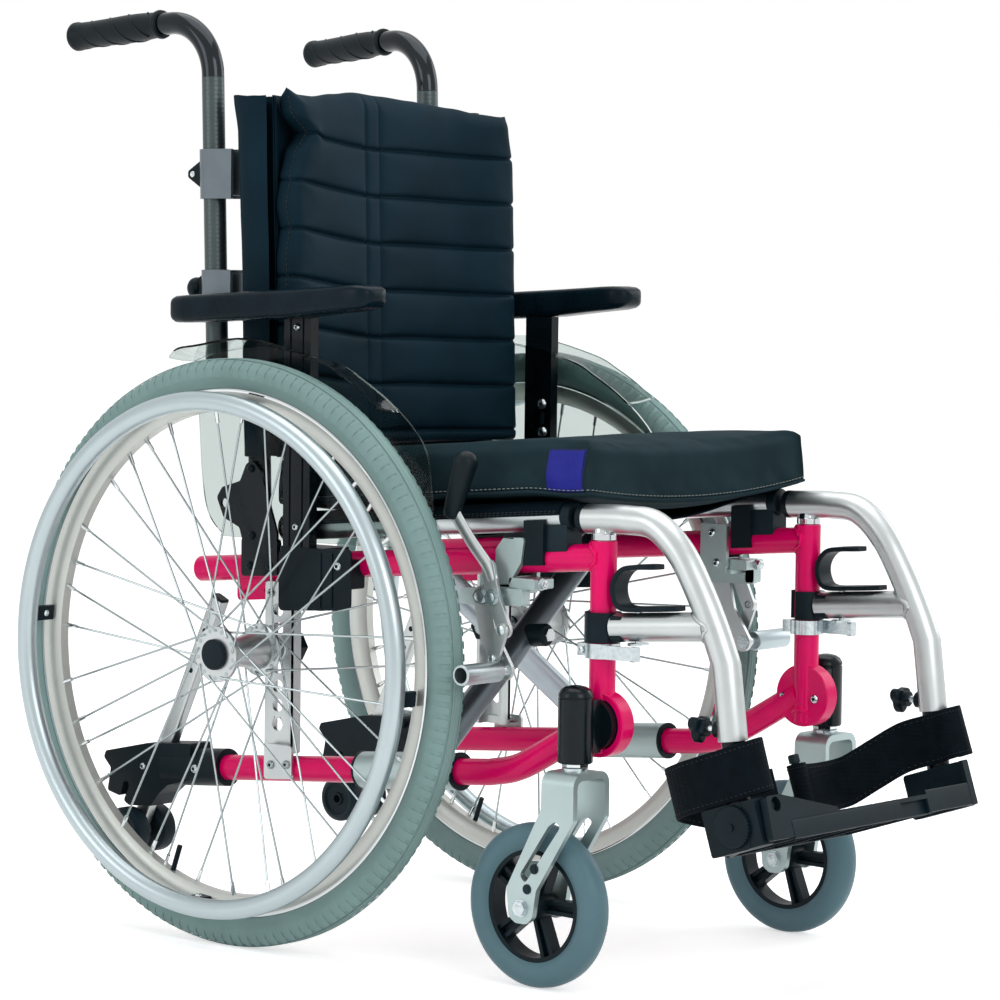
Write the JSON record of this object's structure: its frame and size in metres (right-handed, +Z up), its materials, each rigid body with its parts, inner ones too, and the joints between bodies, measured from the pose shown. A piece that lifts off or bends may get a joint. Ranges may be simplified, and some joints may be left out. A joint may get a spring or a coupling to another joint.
{
  "type": "pediatric wheelchair",
  "caption": "Folding child's wheelchair with spoked rear wheels and handrims, slotted castor forks, channelled back, clear side guards and one flip-up footplate.",
  "frame": {"origin": "on the floor under the middle of the chair's length and width", "axes": "+Z up, the chair faces -Y, the user's right side is -X"},
  "size_m": [0.559, 0.8866, 0.8972],
  "materials": {
    "antitip_bar_left": "satin silver",
    "antitip_bar_right": "satin silver",
    "antitip_bracket_left": "black",
    "antitip_bracket_right": "black",
    "antitip_wheels_left": "black",
    "antitip_wheels_right": "black",
    "armrest_pad_left": "black",
    "armrest_pad_right": "black",
    "armrest_post_left": "black",
    "armrest_post_right": "black",
    "axle_plate_left": "satin silver",
    "axle_plate_right": "satin silver",
    "back_cane_left": "black",
    "back_cane_right": "black",
    "back_cushion": "black vinyl",
    "back_sling": "black vinyl",
    "brace_a": "gunmetal",
    "brace_b": "satin silver",
    "brake_arm_left": "satin silver",
    "brake_arm_right": "satin silver",
    "brake_lever_left": "satin silver",
    "brake_lever_right": "satin silver",
    "brake_link_left": "satin silver",
    "brake_link_right": "satin silver",
    "brake_mount_left": "satin silver",
    "brake_mount_right": "satin silver",
    "castor_fork_left": "satin silver",
    "castor_fork_right": "satin silver",
    "castor_housing_left": "black",
    "castor_housing_right": "black",
    "castor_wheel_left": "blue-grey tyre on a black hub",
    "castor_wheel_right": "blue-grey tyre on a black hub",
    "extension_knob_left": "black",
    "extension_knob_right": "black",
    "footplate": "black",
    "handle_knob_left": "black",
    "handle_knob_right": "black",
    "handrim_left": "anodised, grey-blue",
    "handrim_right": "anodised, grey-blue",
    "hanger_left": "satin silver",
    "hanger_right": "satin silver",
    "heel_strap_left": "black webbing",
    "heel_strap_right": "black webbing",
    "leg_extension_left": "black",
    "leg_extension_right": "black",
    "push_handle_left": "dark chrome tube with a black grip",
    "push_handle_right": "dark chrome tube with a black grip",
    "rear_tyre_left": "grey-green rubber",
    "rear_tyre_right": "grey-green rubber",
    "rear_wheel_left": "satin silver",
    "rear_wheel_right": "satin silver",
    "release_lever_left": "black",
    "release_lever_right": "black",
    "seat_cushion": "black vinyl",
    "seat_sling": "black vinyl",
    "side_frame_left": "gloss pink-red paint",
    "side_frame_right": "gloss pink-red paint",
    "side_guard_left": "clear plastic",
    "side_guard_right": "clear plastic"
  },
  "bodies": {
    "frame_right": {"side_frame_right": "side_frame_right", "axle_plate_right": "axle_plate_right", "castor_housing_right": "castor_housing_right", "antitip_bracket_right": "antitip_bracket_right", "brake_mount_right": "brake_mount_right", "back_cane_right": "back_cane_right", "seat_sling": "seat_sling", "seat_cushion": "seat_cushion", "back_sling": "back_sling", "back_cushion": "back_cushion"},
    "frame_left": {"side_frame_left": "side_frame_left", "axle_plate_left": "axle_plate_left", "castor_housing_left": "castor_housing_left", "antitip_bracket_left": "antitip_bracket_left", "brake_mount_left": "brake_mount_left", "back_cane_left": "back_cane_left"},
    "wheel_right": {"rear_wheel_right": "rear_wheel_right", "rear_tyre_right": "rear_tyre_right", "handrim_right": "handrim_right"},
    "wheel_left": {"rear_wheel_left": "rear_wheel_left", "rear_tyre_left": "rear_tyre_left", "handrim_left": "handrim_left"},
    "castor_right": {"castor_fork_right": "castor_fork_right"},
    "castor_left": {"castor_fork_left": "castor_fork_left"},
    "castor_wheel_right": {"castor_wheel_right": "castor_wheel_right"},
    "castor_wheel_left": {"castor_wheel_left": "castor_wheel_left"},
    "antitip_bar_right": {"antitip_bar_right": "antitip_bar_right"},
    "antitip_bar_left": {"antitip_bar_left": "antitip_bar_left"},
    "antitip_wheels_right": {"antitip_wheels_right": "antitip_wheels_right"},
    "antitip_wheels_left": {"antitip_wheels_left": "antitip_wheels_left"},
    "brake_lever_right": {"brake_lever_right": "brake_lever_right"},
    "brake_lever_left": {"brake_lever_left": "brake_lever_left"},
    "brake_arm_right": {"brake_arm_right": "brake_arm_right"},
    "brake_arm_left": {"brake_arm_left": "brake_arm_left"},
    "brake_link_right": {"brake_link_right": "brake_link_right"},
    "brake_link_left": {"brake_link_left": "brake_link_left"},
    "hanger_right": {"hanger_right": "hanger_right"},
    "hanger_left": {"hanger_left": "hanger_left"},
    "release_lever_right": {"release_lever_right": "release_lever_right"},
    "release_lever_left": {"release_lever_left": "release_lever_left"},
    "extension_right": {"leg_extension_right": "leg_extension_right", "heel_strap_right": "heel_strap_right"},
    "extension_left": {"leg_extension_left": "leg_extension_left"},
    "extension_knob_right": {"extension_knob_right": "extension_knob_right"},
    "extension_knob_left": {"extension_knob_left": "extension_knob_left"},
    "armrest_right": {"armrest_post_right": "armrest_post_right", "armrest_pad_right": "armrest_pad_right", "side_guard_right": "side_guard_right"},
    "armrest_left": {"armrest_post_left": "armrest_post_left", "armrest_pad_left": "armrest_pad_left", "side_guard_left": "side_guard_left"},
    "push_handle_right": {"push_handle_right": "push_handle_right"},
    "push_handle_left": {"push_handle_left": "push_handle_left"},
    "handle_knob_right": {"handle_knob_right": "handle_knob_right"},
    "handle_knob_left": {"handle_knob_left": "handle_knob_left"},
    "footplate": {"footplate": "footplate", "heel_strap_left": "heel_strap_left"},
    "brace_a": {"brace_a": "brace_a"},
    "brace_b": {"brace_b": "brace_b"}
  },
  "joints": [
    {"name": "fold", "type": "hinge", "parent": "frame_right", "child": "brace_a", "pos_m": [-0.16, -0.01334, 0.17601], "axis": [0, -0.9968, 0.0802], "range_deg": [0, 28.5], "deforming": ["seat_sling", "seat_cushion", "back_sling", "back_cushion", "heel_strap_right", "heel_strap_left"]},
    {"name": "fold_brace_b", "type": "hinge", "parent": "brace_a", "child": "brace_b", "pos_m": [0, -0.00401, 0.29202], "axis": [0, -0.9968, 0.0802], "range_deg": [-57, 0]},
    {"name": "fold_frame_left", "type": "hinge", "parent": "brace_b", "child": "frame_left", "pos_m": [0.16, -0.01334, 0.17601], "axis": [0, -0.9968, 0.0802], "range_deg": [0, 28.5]},
    {"name": "wheel_spin_right", "type": "hinge", "parent": "frame_right", "child": "wheel_right", "pos_m": [-0.228, 0.15266, 0.28], "axis": [1, 0, 0], "continuous": true},
    {"name": "castor_swivel_right", "type": "hinge", "parent": "frame_right", "child": "castor_right", "pos_m": [-0.196, -0.23684, 0.2], "axis": [0, 0, 1], "continuous": true},
    {"name": "castor_spin_right", "type": "hinge", "parent": "castor_right", "child": "castor_wheel_right", "pos_m": [-0.196, -0.19734, 0.075], "axis": [1, 0, 0], "continuous": true},
    {"name": "antitip_slide_right", "type": "slide", "parent": "frame_right", "child": "antitip_bar_right", "axis": [0, 0.4188, -0.9081], "range_m": [0, 0.036]},
    {"name": "antitip_spin_right", "type": "hinge", "parent": "antitip_bar_right", "child": "antitip_wheels_right", "pos_m": [-0.16, 0.34366, 0.084], "axis": [1, 0, 0], "continuous": true},
    {"name": "brake_lever_right", "type": "hinge", "parent": "frame_right", "child": "brake_lever_right", "pos_m": [-0.189, -0.13484, 0.349], "axis": [1, 0, 0], "range_deg": [0, 44.3]},
    {"name": "brake_arm_right", "type": "hinge", "parent": "frame_right", "child": "brake_arm_right", "pos_m": [-0.184, -0.11734, 0.349], "axis": [1, 0, 0], "range_deg": [0, 8.3]},
    {"name": "brake_link_right", "type": "hinge", "parent": "brake_lever_right", "child": "brake_link_right", "pos_m": [-0.193, -0.14834, 0.32], "axis": [1, 0, 0], "range_deg": [-76.3, 0]},
    {"name": "hanger_swing_right", "type": "hinge", "parent": "frame_right", "child": "hanger_right", "pos_m": [-0.16, -0.23834, 0.33], "axis": [0, 0, 1], "range_deg": [-90, 0], "deforming": ["heel_strap_left"]},
    {"name": "release_lever_right", "type": "hinge", "parent": "hanger_right", "child": "release_lever_right", "pos_m": [-0.16, -0.27884, 0.33], "axis": [0, 0, 1], "range_deg": [-15, 15], "stiffness_Nm_per_rad": 0.3},
    {"name": "extension_slide_right", "type": "slide", "parent": "hanger_right", "child": "extension_right", "axis": [0, -0.1277, -0.9918], "range_m": [0, 0.045]},
    {"name": "extension_knob_right", "type": "hinge", "parent": "hanger_right", "child": "extension_knob_right", "pos_m": [-0.16, -0.38319, 0.24593], "axis": [0, 1, 0], "range_deg": [-180, 0]},
    {"name": "armrest_lift_right", "type": "slide", "parent": "frame_right", "child": "armrest_right", "axis": [0, 0, 1], "range_m": [0, 0.045]},
    {"name": "push_handle_slide_right", "type": "slide", "parent": "frame_right", "child": "push_handle_right", "axis": [0, 0.03, 0.9996], "range_m": [0, 0.1]},
    {"name": "handle_knob_right", "type": "hinge", "parent": "frame_right", "child": "handle_knob_right", "pos_m": [-0.16, 0.24478, 0.625], "axis": [0, 1, 0], "range_deg": [-180, 0]},
    {"name": "wheel_spin_left", "type": "hinge", "parent": "frame_left", "child": "wheel_left", "pos_m": [0.228, 0.15266, 0.28], "axis": [1, 0, 0], "continuous": true},
    {"name": "castor_swivel_left", "type": "hinge", "parent": "frame_left", "child": "castor_left", "pos_m": [0.196, -0.23684, 0.2], "axis": [0, 0, 1], "continuous": true},
    {"name": "castor_spin_left", "type": "hinge", "parent": "castor_left", "child": "castor_wheel_left", "pos_m": [0.196, -0.19734, 0.075], "axis": [1, 0, 0], "continuous": true},
    {"name": "antitip_slide_left", "type": "slide", "parent": "frame_left", "child": "antitip_bar_left", "axis": [0, 0.4188, -0.9081], "range_m": [0, 0.036]},
    {"name": "antitip_spin_left", "type": "hinge", "parent": "antitip_bar_left", "child": "antitip_wheels_left", "pos_m": [0.16, 0.34366, 0.084], "axis": [1, 0, 0], "continuous": true},
    {"name": "brake_lever_left", "type": "hinge", "parent": "frame_left", "child": "brake_lever_left", "pos_m": [0.189, -0.13484, 0.349], "axis": [1, 0, 0], "range_deg": [0, 44.3]},
    {"name": "brake_arm_left", "type": "hinge", "parent": "frame_left", "child": "brake_arm_left", "pos_m": [0.184, -0.11734, 0.349], "axis": [1, 0, 0], "range_deg": [0, 8.3]},
    {"name": "brake_link_left", "type": "hinge", "parent": "brake_lever_left", "child": "brake_link_left", "pos_m": [0.193, -0.14834, 0.32], "axis": [1, 0, 0], "range_deg": [-76.3, 0]},
    {"name": "hanger_swing_left", "type": "hinge", "parent": "frame_left", "child": "hanger_left", "pos_m": [0.16, -0.23834, 0.33], "axis": [0, 0, 1], "range_deg": [0, 90]},
    {"name": "release_lever_left", "type": "hinge", "parent": "hanger_left", "child": "release_lever_left", "pos_m": [0.16, -0.27884, 0.33], "axis": [0, 0, 1], "range_deg": [-15, 15], "stiffness_Nm_per_rad": 0.3},
    {"name": "extension_slide_left", "type": "slide", "parent": "hanger_left", "child": "extension_left", "axis": [0, -0.1277, -0.9918], "range_m": [0, 0.045]},
    {"name": "extension_knob_left", "type": "hinge", "parent": "hanger_left", "child": "extension_knob_left", "pos_m": [0.16, -0.38319, 0.24593], "axis": [0, 1, 0], "range_deg": [-180, 0]},
    {"name": "armrest_lift_left", "type": "slide", "parent": "frame_left", "child": "armrest_left", "axis": [0, 0, 1], "range_m": [0, 0.045]},
    {"name": "push_handle_slide_left", "type": "slide", "parent": "frame_left", "child": "push_handle_left", "axis": [0, 0.03, 0.9996], "range_m": [0, 0.1]},
    {"name": "handle_knob_left", "type": "hinge", "parent": "frame_left", "child": "handle_knob_left", "pos_m": [0.16, 0.24478, 0.625], "axis": [0, 1, 0], "range_deg": [-180, 0]},
    {"name": "footplate_flip", "type": "hinge", "parent": "extension_right", "child": "footplate", "pos_m": [-0.162, -0.4177, 0.18184], "axis": [0, -0.9511, 0.309], "range_deg": [0, 66.1]}
  ],
  "couplings": [
    {"joint": "fold_brace_b", "follows": "fold", "ratio": -2},
    {"joint": "fold_frame_left", "follows": "fold", "ratio": 1},
    {"joint": "footplate_flip", "follows": "fold", "ratio": 2.316},
    {"joint": "brake_arm_right", "follows": "brake_lever_right", "ratio": 0.187},
    {"joint": "brake_link_right", "follows": "brake_lever_right", "ratio": -1.72},
    {"joint": "brake_arm_left", "follows": "brake_lever_left", "ratio": 0.187},
    {"joint": "brake_link_left", "follows": "brake_lever_left", "ratio": -1.72},
    {"joint": "extension_slide_left", "follows": "extension_slide_right", "ratio": 1}
  ]
}
